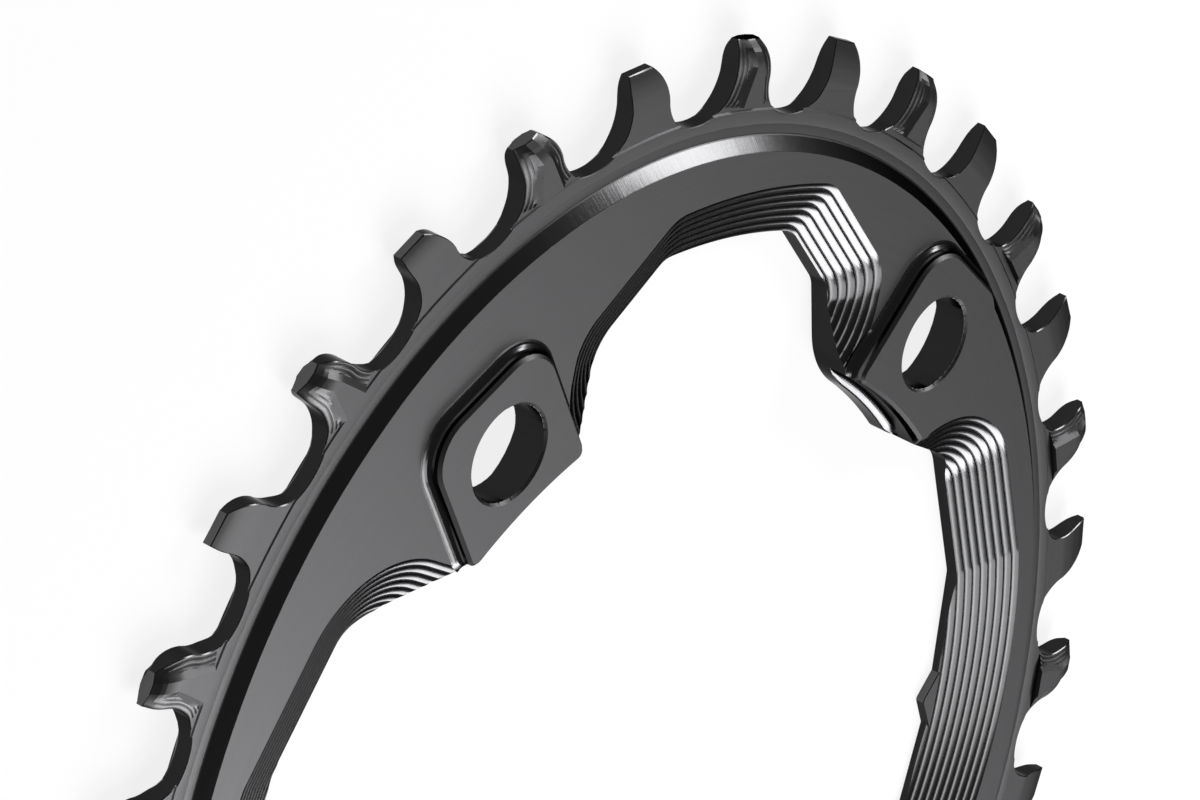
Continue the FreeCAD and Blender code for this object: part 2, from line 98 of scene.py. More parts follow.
# points along each stretch of a flank, and along the bottom of a gap
LEAD_GAP_CUTS = 40
TRAIL_GAP_CUTS = 50
FOOT_CUTS = 40
SHANK_CUTS = 60
GAP_CUTS = 14

# faces of the teeth: heights where facets meet, and half thicknesses there
NARROW_FACETS = [(-0.6, 0.925), (0.6, 0.86), (1.5, 0.74), (2.2, 0.6), (TIP_HEIGHT, 0.42)]
WIDE_FACETS = [(0.5, 1.575), (1.0, 1.53), (1.5, 1.42), (2.05, 1.2), (TIP_HEIGHT, 0.55)]

# raised land of the wide teeth: heights with the places of its two edges there
LAND_ROOT = -2.7
LAND_LEAD_EDGE = [(LAND_ROOT, 1.6), (0.6, 0.78), (TIP_HEIGHT, -0.1)]
LAND_TRAIL_EDGE = [(LAND_ROOT, -0.92), (0.6, -0.19), (TIP_HEIGHT, -1.0)]
LAND_WALL_SLOPE = 0.7
LAND_SCALLOPS = 3
LAND_SCALLOP_WIDTH = 0.42
LAND_SCALLOP_RISE = 0.13
LAND_SCALLOP_SAG = 0.05
LAND_CUTS = 4
LAND_STEPS = LAND_SCALLOPS * LAND_SCALLOP_WIDTH
LAND_LEDGE = TOOTH_FACE + LAND_SCALLOPS * LAND_SCALLOP_RISE
LAND_WALL = (WIDE_THICKNESS - LAND_LEDGE) / LAND_WALL_SLOPE

# heights of the rows of points over a tooth's face
NARROW_ROWS = [
    -3.12, -2.85, -2.5, -2.1, -1.7, -1.3, -0.95, -0.6, -0.25,
    0.1, 0.45, 0.8, 1.15, 1.5, 1.8, 2.1, 2.4,
]
WIDE_FOOT_ROWS = [-3.12, LAND_ROOT]
WIDE_ROWS = [
    LAND_ROOT, -2.45, -2.15, -1.8, -1.45, -1.1, -0.75, -0.4, -0.05,
    0.3, 0.65, 1.0, 1.3, 1.6, 1.9, 2.2, 2.5,
]
NARROW_COLUMNS = 7

# rings inboard of the teeth, as depths inside the chain line
CREASE_DEPTH = 3.7
CREASE_WIDTH = 0.16
LINE_DEPTH = 4.9
LINE_HALF_WIDTH = 0.04
LINE_SINK = 0.006
BAND_OUTER = 5.8
BAND_INNER = 6.95
BACK_STEP = 4.6
BACK_EDGE = BACK_STEP + PLATE_LOW

# soft foot and head of the bevelled band: steps inward from its edge, with rises there
BAND_FOOT = [(-0.1, 0), (-0.02, 0.025), (0.08, 0.1)]
BAND_HEAD = [(-0.05, -0.05), (0.03, 0)]
WEB_EDGE = BAND_INNER + BAND_HEAD[-1][0]

# bolts, with their bores and the counterbores behind them
BOLT_RADIUS = 48.0
BOLT_ANGLES = (55.0, 125.0, 235.0, 305.0)
BORE_RADIUS = 4.2
BORE_CHAMFER = 0.22
COUNTERBORE_RADIUS = 6.3
COUNTERBORE_DEPTH = 1.6
COUNTERBORE_TURN = 4

# bosses, each sunk into a seat that the web leaves open
BOSS_HALF_WIDTH = 7.05
BOSS_REACH = 55.1
BOSS_CORNER = 4.0
BOSS_INNER_CORNER = 0.9
BOSS_EDGE = 0.28
BOSS_FILLET = 0.85
FILLET_CUTS = 8
FILLET_SINK = 0.02
BOSS_SEAT = 0.3

# points round a boss and round its seat, and every how many of a boss's its bore takes
BOSS_RAYS = 320
BOSS_RAY_REACH = 14.0
SEAT_CUTS = 90
BORE_STEP = 8

# ledge inboard of the bosses, with a coved wall over it
INNER_RADIUS = 40.7
LEDGE_RADIUS = 41.5
LEDGE_TOP = 1.5
LEDGE_CUTS = 40
COVE_ANGLE = 55.0
COVE_CUTS = 6
COVE_RISE = (LEDGE_RADIUS - INNER_RADIUS) * math.tan(math.radians(COVE_ANGLE) / 2)

# terraces round the windows, of which the open edge cuts off the innermost
TERRACE_COUNT = 10
TERRACE_WIDTH = 0.74
TERRACE_DROP = 0.3
TERRACE_SAG = 0.1
SCALLOP_CUTS = 6
TERRACE_COLUMN = 0.36
WINDOW_RAYS = 2400
WINDOW_RAY_REACH = 40.0

# windows above and below, seen from a place inside the upper one
HIGH_CENTRE = np.array([0.0, 38.0])
HIGH_RIM = 57.02
HIGH_SLANT_ANGLE = 47.0
HIGH_SLANT = 47.93
HIGH_SIDE = 19.7
HIGH_CORNER = 5.35
HIGH_TOP_CORNER = 4.0
HIGH_FOOT_ANGLE = 50.0
HIGH_FOOT_CORNER = 8.0
HIGH_FOOT_HEIGHT = 43.6
HIGH_OPENING_RIM = 52.12
HIGH_OPENING_SLANT = 43.32
HIGH_OPENING_SIDE_ANGLE = 17.9
HIGH_OPENING_SIDE = 27.9
HIGH_OPENING_CORNER = 2.5

# windows at the sides, seen from a place inside the +X one
SIDE_CENTRE = np.array([38.0, -1.0])
SIDE_RIM = 52.44
SIDE_SHIFT = 2.1
UPPER_SLANT_ANGLE = 26.6
UPPER_SLANT = 51.04
LOWER_SLANT_ANGLE = 26.0
LOWER_SLANT = 52.24
SIDE_CORNER = 10.1
SIDE_END_ANGLE = 112.0
UPPER_END = 15.7
LOWER_END = 16.2
SIDE_OPENING_END_ANGLE = 67.4
SIDE_OPENING_END = 38.2
SIDE_OPENING_CORNER = 3.0

# straight lips of a side window: angles of their normals, and distances
SIDE_OPENING_EDGES = [(-26.0, 46.4), (-4.8, 45.53), (6.05, 45.4), (26.6, 45.28)]

# radii of the joins between the windows' ends and the inner edge
HIGH_BLEND = 9.0
SIDE_BLEND = 2.0

# radii between which the open edge lies beside a boss
OPEN_EDGE_SEARCH = (38.25, 42.5)

# pointed lug on the lip of the +X window
POINTER_FOOT = 45.84
POINTER_DEPTH = 1.0
POINTER_REACH = 1.9
POINTER_HALF_WIDTH = 3.3
POINTER_TIP_WIDTH = 0.3
POINTER_TOP = 0.86

# finishes of the skin's faces, in the order of its material slots; the last is for the steep walls and
# bores, and its darker colour is painted shade
TURNED, BRUSHED, MILLED, SHADED_WALL = range(4)

# making of the mesh: bends sharper than this stay sharp, and points this close are welded
FINE_ANGLE = 9.0
WELD = 0.002

# look of the anodised coat; its grain is counted in a metre, and its depth is in metres
BLACK = (0.08, 0.08, 0.082)
# painted shade: a darker black for the walls, standing for the shade that falls on them
WALL_SHADE_BLACK = (0.022, 0.022, 0.023)
DARK_EDGE = (0.12, 0.12, 0.12, 1.0)
BRIGHT_EDGE = (0.5, 0.5, 0.5, 1.0)
COLOUR_CHANGE = 0.08
SHEEN_CHANGE = 0.05
GRAIN_FINENESS = (9000, 9000, 9000)
GRAIN_DEPTH = 0.0000005
MARK_DETAIL = 3.0

# finishes: colour, tint at a grazing look, roughness, how many marks the tool leaves
# in a radian round and in a metre outward and upward, and their depth in metres
FINISHES = {
    "anodised_turned": (BLACK, DARK_EDGE, 0.4, (3, 4500, 600), 0.0000015),
    "anodised_brushed": (BLACK, DARK_EDGE, 0.2, (420, 300, 300), 0.000005),
    "anodised_milled": (BLACK, DARK_EDGE, 0.18, (60, 1200, 2500), 0.000001),
    # the walls' copy of the coat, darker in colour as painted shade on them
    "anodised_walls_painted_shade": (WALL_SHADE_BLACK, BRIGHT_EDGE, 0.2, (300, 900, 300), 0.000002),
}

# stage, in metres
FLOOR_HALF = 1.5
FLOOR_PAINT = (0.8, 0.8, 0.8, 1)
PLAIN_WHITE_SHARE = 0.85
ROOM_GREY = (0.1, 0.1, 0.1, 1)
LIGHT_DISTANCE = 1.2

# soft boxes: azimuth, elevation, width and height in degrees as the ring sees them, and radiance
SOFT_BOXES = {
    "large_box": (304, 30, 36, 22, 16),
    "small_box": (41, 30, 20, 16, 13),
    "upper_box": (325, 54, 40, 20, 2.7),
    "overhead_box": (282, 57, 40, 26, 3.5),
}

# camera: place in metres, turn in degrees, and a long lens over a wide sensor
CAMERA_PLACE = (-0.3713422, 0.2115326, 0.2724666)
CAMERA_TURN = (-32.91885, -47.84615, 15.38216)
FOCAL_LENGTH = 179.454
SENSOR_WIDTH = 36
LENS_SHIFT = (0.0055, 0.0115)


def polar(radius, angle):
    """Points at radii and angles in degrees, as rows of x and y."""
    turn = np.radians(angle)
    return np.stack([radius * np.cos(turn), radius * np.sin(turn)], axis=-1)


def smoothstep(share):
    share = np.clip(share, 0.0, 1.0)
    return share * share * (3 - 2 * share)


def halved(holds, low, high, count):
    """Number between low, where a test holds, and high, where it doesn't."""
    for _ in range(count):
        middle = (low + high) / 2
        low, high = (middle, high) if holds(middle) else (low, middle)
    return middle


# The chain line

def oval_factor(angle):
    """Radius of the oval at an angle, as a multiple of its mean radius."""
    turn = 2 * np.radians(angle - LONG_AXIS_ANGLE)
    return 1 + OVAL_STRETCH * np.cos(turn) + OVAL_SQUARENESS * np.cos(2 * turn)


def walk_gaps(mean_radius):
    """Angles of the gaps, one chain pitch after another, and the angle after the last."""
    angles = [FIRST_GAP_ANGLE]
    for _ in range(TOOTH_COUNT):
        here = polar(mean_radius * oval_factor(angles[-1]), angles[-1])
        step = math.degrees(CHAIN_PITCH / mean_radius)
        for _ in range(PITCH_TRIES):
            there = polar(mean_radius * oval_factor(angles[-1] + step), angles[-1] + step)
            step *= CHAIN_PITCH / np.linalg.norm(there - here)
        angles.append(angles[-1] + step)
    return np.array(angles[:-1]), angles[-1]


def solve_chain_line():
    """Mean radius at which the last chain pitch closes the round, with the gap angles."""
    circle = CHAIN_PITCH * TOOTH_COUNT / (2 * math.pi)
    small, large = (share * circle for share in CHAIN_SEARCH)

    def too_small(radius):
        return walk_gaps(radius)[1] - FIRST_GAP_ANGLE > 360

    radius = halved(too_small, small, large, CHAIN_HALVINGS)
    return radius, walk_gaps(radius)[0]


MEAN_RADIUS, GAP_ANGLES = solve_chain_line()


def chain_radius(angle):
    return MEAN_RADIUS * oval_factor(angle)


def angle_of(points):
    return np.degrees(np.arctan2(points[..., 1], points[..., 0]))


def depth_of(points):
    """Depth of points inside the chain line, along the radius."""
    return chain_radius(angle_of(points)) - np.hypot(points[..., 0], points[..., 1])


def at_depth(angle, depth):
    """Points at angles, at a depth inside the chain line."""
    return polar(chain_radius(angle) - depth, angle)


# The skin: patches of faces that are gathered here and welded at the end

class Skin:
    """Faces of one mesh, added patch by patch, each with its finish."""

    def __init__(self):
        self.points = []
        self.faces = []
        self.finishes = []

    def add_points(self, points):
        """Take in points, and give the number of the first."""
        first = len(self.points)
        self.points.extend(np.asarray(points, float).reshape(-1, 3).tolist())
        return first

    def add_face(self, first, corners, finish):
        self.faces.append([first + corner for corner in corners])
        self.finishes.append(finish)

    def grid(self, rows, finish, flip=False, closed=False):
        """Quads between rows of points; a closed grid joins its last column to its first."""
        rows = np.asarray(rows, float)
        height, width = rows.shape[:2]
        first = self.add_points(rows)
        for i in range(height - 1):
            for j in range(width if closed else width - 1):
                after = (j + 1) % width
                here, there = i * width, (i + 1) * width
                face = [here + j, here + after, there + after, there + j]
                self.add_face(first, face[::-1] if flip else face, finish)

    def plate(self, loops, z, finish, up=True):
        """Flat face with an outer loop and holes."""
        vectors = [[Vector((x, y, 0)) for x, y in loop] for loop in loops]
        flat = np.concatenate(loops)
        first = self.add_points(np.column_stack([flat, np.full(len(flat), z)]))
        for a, b, c in tessellate_polygon(vectors):
            area = np.cross(flat[b] - flat[a], flat[c] - flat[a])
            self.add_face(first, [a, b, c] if (area > 0) == up else [c, b, a], finish)


def lifted(points, z):
    """Points of the plane at a height, or at one height each."""
    points = np.asarray(points, float)
    heights = np.broadcast_to(np.asarray(z, float), points.shape[:-1])
    return np.concatenate([points, heights[..., None]], axis=-1)


skin = Skin()


# Curves in the plane

def circle_through(a, b, c):
    """Centre of the circle through three points."""
    a, b, c = (np.asarray(p, float) for p in (a, b, c))
    matrix = 2 * np.array([b - a, c - a])
    return np.linalg.solve(matrix, [b @ b - a @ a, c @ c - a @ a])


def arc_about(centre, start, end, count):
    """Points of the shorter arc about a centre, from one end to the other."""
    start, end = np.asarray(start, float) - centre, np.asarray(end, float) - centre
    from_angle = math.atan2(start[1], start[0])
    swing = math.atan2(end[1], end[0]) - from_angle
    swing = (swing + math.pi) % (2 * math.pi) - math.pi
    turns = from_angle + swing * np.linspace(0, 1, count + 1)
    radii = np.linspace(np.hypot(*start), np.hypot(*end), count + 1)
    return np.stack([radii * np.cos(turns), radii * np.sin(turns)], axis=-1) + centre


def arc_through(start, middle, end, count):
    return arc_about(circle_through(start, middle, end), start, end, count)


# The teeth

def tooth_place(i):
    """Middle of a tooth's chord, with the directions along the chord and outward."""
    angles = [GAP_ANGLES[i], GAP_ANGLES[(i + 1) % TOOTH_COUNT]]
    first, second = (polar(chain_radius(angle), angle) for angle in angles)
    along = (first - second) / np.linalg.norm(first - second)
    return (first + second) / 2, along, np.array([-along[1], along[0]])


TOOTH_PLACES = [tooth_place(i) for i in range(TOOTH_COUNT)]


def to_ring(i, points):
    """Points on the ring, from their places along and outward from a tooth's chord."""
    middle, along, outward = TOOTH_PLACES[i % TOOTH_COUNT]
    points = np.asarray(points, float)
    return middle + points[..., :1] * along + points[..., 1:2] * outward


def to_tooth(i, points):
    """Places along and outward from a tooth's chord, from points on the ring."""
    middle, along, outward = TOOTH_PLACES[i % TOOTH_COUNT]
    away = np.asarray(points, float) - middle
    return np.stack([away @ along, away @ outward], axis=-1)


def gap_height(width):
    """Height on the round bottom of a gap, at a distance from the middle of a tooth."""
    across = CHAIN_PITCH / 2 - width
    return GAP_RISE - math.sqrt(GAP_RADIUS ** 2 - across ** 2)


LEAD_FOOT = (LEAD_FOOT_WIDTH, gap_height(LEAD_FOOT_WIDTH))
TRAIL_FOOT = (-TRAIL_FOOT_WIDTH, gap_height(TRAIL_FOOT_WIDTH))


def gap_centre(i):
    """Centre of the round bottom of a gap, and its root, on the ring."""
    angle = GAP_ANGLES[i % TOOTH_COUNT]
    root = polar(chain_radius(angle) - ROOT_DEPTH, angle)
    return circle_through(to_ring(i - 1, TRAIL_FOOT), root, to_ring(i, LEAD_FOOT)), root


def lead_flank(i):
    """Leading flank of a tooth, from the root of the gap up to the tip."""
    centre, root = (to_tooth(i, p) for p in gap_centre(i))
    chord = np.subtract(LEAD_WAIST, LEAD_FOOT)
    side = np.array([-chord[1], chord[0]]) / np.linalg.norm(chord)
    bend = (np.asarray(LEAD_FOOT) + LEAD_WAIST) / 2 + side * LEAD_FOOT_BULGE
    parts = [
        arc_about(centre, root, LEAD_FOOT, LEAD_GAP_CUTS)[:-1],
        arc_through(LEAD_FOOT, bend, LEAD_WAIST, FOOT_CUTS)[:-1],
        arc_through(LEAD_WAIST, LEAD_SHOULDER, LEAD_TIP, SHANK_CUTS),
    ]
    return np.concatenate(parts)


def trail_flank(i):
    """Trailing flank of a tooth, from the root of the next gap up to the tip."""
    centre, root = (to_tooth(i, p) for p in gap_centre(i + 1))
    heights = np.linspace(TRAIL_WAIST[1], TIP_HEIGHT, SHANK_CUTS)
    rise = smoothstep((heights - TRAIL_WAIST[1]) / (TRAIL_SHOULDER_HEIGHT - TRAIL_WAIST[1]))
    widths = TRAIL_WAIST[0] + (TRAIL_TIP[0] - TRAIL_WAIST[0]) * rise
    parts = [
        arc_about(centre, root, TRAIL_FOOT, TRAIL_GAP_CUTS)[:-1],
        arc_through(TRAIL_FOOT, TRAIL_CALF, TRAIL_WAIST, FOOT_CUTS)[:-1],
        np.stack([widths, heights], axis=-1),
    ]
    return np.concatenate(parts)


def outward_normals(line, side):
    """Normals of a flank that runs up to the tip; side is 1 for the leading one."""
    run = np.gradient(line, axis=0)
    run /= np.linalg.norm(run, axis=1)[:, None]
    return side * np.stack([run[:, 1], -run[:, 0]], axis=-1)


def facet_profile(facets, height):
    """Half thickness of a tooth at a height, under its facets."""
    heights, halves = zip(*facets)
    return np.interp(height, heights, halves)


def scallop(distance, width, drop, sag):
    """Height of a flight of concave steps, at a distance past its edge."""
    distance = np.maximum(distance, 0.0)
    step = np.floor(distance / width + STEP_SLACK)
    share = distance / width - step
    return -drop * (step + share) - 4 * sag * share * (1 - share)


def land_edges(height):
    """Leading and trailing edge of a land at a height."""
    return [np.interp(height, *zip(*edge)) for edge in (LAND_LEAD_EDGE, LAND_TRAIL_EDGE)]


def land_side(from_flank, from_land):
    """Height beside a land: scallops that follow the flank, under the land's sloping wall."""
    steps = scallop(LAND_STEPS - from_flank, LAND_SCALLOP_WIDTH, LAND_SCALLOP_RISE, LAND_SCALLOP_SAG)
    wall = WIDE_THICKNESS - LAND_WALL_SLOPE * from_land
    return np.maximum(LAND_LEDGE + steps, wall)


def narrow_face(across, height):
    return np.full(len(across), TOOTH_MIDDLE + facet_profile(NARROW_FACETS, height))


def wide_face(across, height):
    """Front face of a wide tooth above its land's root: land, scallops and tip facets."""
    lead, trail = land_edges(height)
    lead_side = land_side(across[-1] - across, across - lead)
    trail_side = land_side(across - across[0], trail - across)
    section = np.minimum(WIDE_THICKNESS, np.minimum(lead_side, trail_side)) - TOOTH_MIDDLE
    return TOOTH_MIDDLE + section * 2 * facet_profile(WIDE_FACETS, height) / WIDE_THICKNESS


def crease_height(i, across, depth):
    """Height on a tooth where a depth inside the chain line is met."""
    height = np.full(np.shape(across), -depth)
    for _ in range(CREASE_TRIES):
        place = to_ring(i, np.stack([across, height], axis=-1))
        height = height + depth_of(place) - depth
    return height


def root_chamfer(height):
    """Size of the chamfer behind a flank: wide in the gap, narrow up the tooth."""
    fade = smoothstep((ROOT_CHAMFER_END - height) / ROOT_CHAMFER_FADE)
    return EDGE_BREAK + (ROOT_CHAMFER - EDGE_BREAK) * fade


class Flank:
    """One side of a tooth: where it is met at a height, with its normal."""

    def __init__(self, line, side):
        self.line = line
        self.normals = outward_normals(line, side)

    def at(self, height):
        heights = self.line[:, 1]
        place = [np.interp(height, heights, self.line[:, k]) for k in (0, 1)]
        normal = [np.interp(height, heights, self.normals[:, k]) for k in (0, 1)]
        return np.array(place), np.array(normal)

    def meets_depth(self, i, depth):
        """Height at which the flank crosses a depth inside the chain line."""
        depths = depth_of(to_ring(i, self.line))
        return float(np.interp(-depth, -depths, self.line[:, 1]))


def columns_across(low, high, height, wide):
    """Places across a tooth at a height, between two ends, in order."""
    if not wide:
        return np.linspace(low, high, NARROW_COLUMNS)
    lead, trail = land_edges(height)
    steps = np.linspace(0, LAND_STEPS, LAND_SCALLOPS * LAND_CUTS + 1)
    trail_foot = max(trail - LAND_WALL, min(low + LAND_STEPS, trail))
    lead_foot = min(lead + LAND_WALL, max(high - LAND_STEPS, lead))
    trail_side = np.minimum(low + steps, trail)
    lead_side = np.maximum(high - steps[::-1], lead)
    return np.concatenate([trail_side, [trail_foot, trail, lead, lead_foot], lead_side])


# the tip's corners, in the order of the columns across a tooth
TIP_CORNERS = np.array([TRAIL_TIP, LEAD_TIP])


class Tooth:
    """One tooth, with its trailing and its leading flank, and each one's height at the crease."""

    def __init__(self, i):
        self.i = i
        self.wide = i % 2 == 1
        self.sides = []
        for line, side in ((trail_flank(i), -1), (lead_flank(i), 1)):
            flank = Flank(line, side)
            self.sides.append((flank, flank.meets_depth(i, CREASE_DEPTH)))

    def face(self, across, height):
        return (wide_face if self.wide else narrow_face)(across, height)

    def row_heights(self):
        """Heights of the rows of the face above its foot."""
        heights = WIDE_FOOT_ROWS + WIDE_ROWS if self.wide else NARROW_ROWS
        return heights + [TIP_HEIGHT - EDGE_BREAK]

    def foot_ends(self, inset):
        """Places on the trailing and the leading flank at the foot, moved in by an inset."""
        ends = []
        for flank, height in self.sides:
            place, normal = flank.at(height)
            ends.append(place - normal / np.linalg.norm(normal) * inset)
        return ends

    def back_row(self):
        """Straight foot of the back face, between the chamfers of the two flanks."""
        low, high = self.foot_ends(ROOT_CHAMFER)
        across = columns_across(low[0], high[0], LAND_ROOT, self.wide)
        share = (across - low[0]) / (high[0] - low[0])
        return low + (high - low) * share[:, None]

    def row(self, height, inset):
        """Points across the tooth between its flanks, each moved in by an inset."""
        ends = []
        for flank, _ in self.sides:
            place, normal = flank.at(height)
            ends.append(place - normal * inset)
        (low, low_height), (high, high_height) = ends
        across = columns_across(low, high, height, self.wide)
        share = (across - low) / (high - low)
        return np.stack([across, low_height + (high_height - low_height) * share], axis=-1)

    def crease_row(self, depth, inset):
        """Points along the flange's edge, from the trailing to the leading flank."""
        ends = []
        for flank, height in self.sides:
            place, normal = flank.at(height)
            ends.append(place[0] - normal[0] * inset)
        across = columns_across(ends[0], ends[1], LAND_ROOT, self.wide)
        return np.stack([across, crease_height(self.i, across, depth)], axis=-1)

    def rows(self, front):
        """Rows of the face from the foot up, each with its heights and its edge break."""
        if front:
            foot, inset = self.crease_row(CREASE_DEPTH - CREASE_WIDTH, EDGE_BREAK), EDGE_BREAK
        else:
            foot, inset = self.back_row(), ROOT_CHAMFER
        made = [(foot, np.full(len(foot), TOOTH_FACE), inset)]
        for k, height in enumerate(self.row_heights()):
            inset = EDGE_BREAK if front else root_chamfer(height)
            row = self.row(height, inset)
            below_land = self.wide and k < len(WIDE_FOOT_ROWS)
            z = np.full(len(row), TOOTH_FACE) if below_land else self.face(row[:, 0], height)
            made.append((row, z, inset))
        return made

    def placed(self, points, z, front):
        """Points of the tooth's plane on the ring, at heights that the back mirrors."""
        return lifted(to_ring(self.i, points), z if front else WIDE_THICKNESS - z)

    def skin_side(self, front):
        """Face, edge breaks and half of the walls, on the front or mirrored to the back."""
        rows = self.rows(front)
        skin.grid([self.placed(row, z, front) for row, z, _ in rows], TURNED, flip=not front)
        self.skin_flank(rows, 0, *self.sides[0], front)
        self.skin_flank(rows, -1, *self.sides[1], front)
        self.skin_tip(rows[-1], front)

    def skin_flank(self, rows, column, flank, crease, front):
        """Edge break and wall, from one end of each row out to the flank and its corner."""
        inner, rim, waist = [], [], []
        for (row, z, inset), height in zip(rows, [crease] + self.row_heights()):
            place, _ = flank.at(height)
            inner.append(self.placed(row[column], z[column], front))
            rim.append(self.placed(place, z[column] - inset, front))
            waist.append(self.placed(place, TOOTH_MIDDLE, front))
        tip_row, tip_z, _ = rows[-1]
        inner.append(self.placed(tip_row[column], tip_z[column], front))
        rim.append(self.placed(TIP_CORNERS[column], tip_z[column] - EDGE_BREAK, front))
        waist.append(self.placed(TIP_CORNERS[column], TOOTH_MIDDLE, front))
        turned_over = (column != 0) == front
        skin.grid([inner, rim], MILLED, flip=turned_over)
        skin.grid([rim, waist], SHADED_WALL, flip=turned_over)

    def skin_tip(self, last_row, front):
        """Edge break and half of the wall over the tip."""
        row, z, _ = last_row
        share = (row[:, 0] - row[0, 0]) / (row[-1, 0] - row[0, 0])
        edge = TIP_CORNERS[0] + (TIP_CORNERS[1] - TIP_CORNERS[0]) * share[:, None]
        tip = [
            self.placed(row, z, front),
            self.placed(edge, z - EDGE_BREAK, front),
            self.placed(edge, TOOTH_MIDDLE, front),
        ]
        skin.grid(tip, MILLED, flip=not front)


TEETH = [Tooth(i) for i in range(TOOTH_COUNT)]
for tooth in TEETH:
    tooth.skin_side(front=True)
    tooth.skin_side(front=False)


# The flange, the band and the bevelled back of the rim

def gap_arc(i, inset):
    """Bottom of a gap, moved in by an inset, from the tooth before it to the one after it."""
    before, after = TEETH[i - 1], TEETH[i]
    centre, _ = gap_centre(i)
    start, end = to_ring(before.i, before.foot_ends(0)[0]), to_ring(after.i, after.foot_ends(0)[1])
    arc = arc_about(centre, start, end, GAP_CUTS)
    away = arc - centre
    moved = arc + away / np.linalg.norm(away, axis=1)[:, None] * inset
    moved[0] = to_ring(before.i, before.foot_ends(inset)[0])
    moved[-1] = to_ring(after.i, after.foot_ends(inset)[1])
    return moved


def rim_loop(inset, foot_row):
    """The rim's edge all round, counter-clockwise: gap bottoms and the feet of the teeth."""
    loop = []
    for i in range(TOOTH_COUNT):
        loop.append(gap_arc(i, inset))
        loop.append(to_ring(i, foot_row(TEETH[i])[::-1]))
    return np.concatenate(loop)


def gap_levels(gap_level, crease_level):
    """One height for each point of a rim loop."""
    levels = []
    for tooth in TEETH:
        levels.append(np.full(GAP_CUTS + 1, gap_level))
        levels.append(np.full(len(tooth.crease_row(CREASE_DEPTH, EDGE_BREAK)), crease_level))
    return np.concatenate(levels)


FRONT_LOOP = rim_loop(EDGE_BREAK, lambda tooth: tooth.crease_row(CREASE_DEPTH, EDGE_BREAK))
FRONT_ANGLES = angle_of(FRONT_LOOP)
BACK_LOOP = rim_loop(ROOT_CHAMFER, Tooth.back_row)
BACK_ANGLES = angle_of(BACK_LOOP)

FRONT_RINGS = [
    (LINE_DEPTH - LINE_HALF_WIDTH, FLANGE_TOP),
    (LINE_DEPTH, FLANGE_TOP - LINE_SINK),
    (LINE_DEPTH + LINE_HALF_WIDTH, FLANGE_TOP),
]
FRONT_RINGS += [(BAND_OUTER + step, FLANGE_TOP + rise) for step, rise in BAND_FOOT]
BAND_RINGS = FRONT_RINGS[-1:]
BAND_RINGS += [(BAND_INNER + step, WEB_TOP + rise) for step, rise in BAND_HEAD]


def ring_rows(rings, angles):
    """Rows of points all round, at depths inside the chain line with their heights."""
    return [lifted(at_depth(angles, depth), z) for depth, z in rings]


def add_flange_and_band():
    """Flange with the break along its outer edge, and the bevelled band inboard of it."""
    outer_loop = rim_loop(0, lambda tooth: tooth.crease_row(CREASE_DEPTH - CREASE_WIDTH, 0))
    outer_levels = gap_levels(FLANGE_TOP - EDGE_BREAK, TOOTH_FACE)
    edge_rows = [lifted(outer_loop, outer_levels), lifted(FRONT_LOOP, FLANGE_TOP)]
    skin.grid(edge_rows + ring_rows(FRONT_RINGS, FRONT_ANGLES), TURNED, closed=True)
    skin.grid(ring_rows(BAND_RINGS, FRONT_ANGLES), BRUSHED, closed=True)


def add_gap_walls():
    """Walls at the bottoms of the gaps, with the chamfer behind them."""
    for i in range(TOOTH_COUNT):
        edge = gap_arc(i, 0)
        foot = lifted(edge, PLATE_LOW + ROOT_CHAMFER)
        skin.grid([lifted(edge, FLANGE_TOP - EDGE_BREAK), foot], SHADED_WALL, flip=True)
        skin.grid([foot, lifted(gap_arc(i, ROOT_CHAMFER), PLATE_LOW)], MILLED, flip=True)


def add_back_of_rim():
    """Back of the toothed rim, with the bevel out to the back of the ring."""
    rings = ring_rows([(BACK_STEP, PLATE_LOW), (BACK_EDGE, 0)], BACK_ANGLES)
    skin.grid([lifted(BACK_LOOP, PLATE_LOW)] + rings, TURNED, flip=True, closed=True)


add_flange_and_band()
add_gap_walls()
add_back_of_rim()


# Fields: how far inside an outline a point lies

class Line:
    """Straight side, given by the angle of its normal and its distance from the axis."""

    def __init__(self, angle, reach):
        self.normal = polar(1.0, angle)
        self.reach = reach

    def inset(self, points):
        return self.reach - points @ self.normal

    def outward(self, point):
        return self.normal


class Round:
    """Round side; sign is -1 where the outline lies outside of the circle."""

    def __init__(self, centre, radius, sign=1):
        self.centre = np.asarray(centre, float)
        self.radius = radius
        self.sign = sign

    def inset(self, points):
        return self.sign * (self.radius - np.linalg.norm(points - self.centre, axis=-1))

    def outward(self, point):
        away = self.sign * (point - self.centre)
        return away / np.linalg.norm(away)


def cross(first, second):
    return first[..., 0] * second[..., 1] - first[..., 1] * second[..., 0]


def between(away, start, end):
    """Whether directions lie in the wedge between two unit directions."""
    turn = np.sign(cross(start, end))
    return (turn * cross(start, away) > 0) & (turn * cross(away, end) > 0) & (away @ (start + end) > 0)


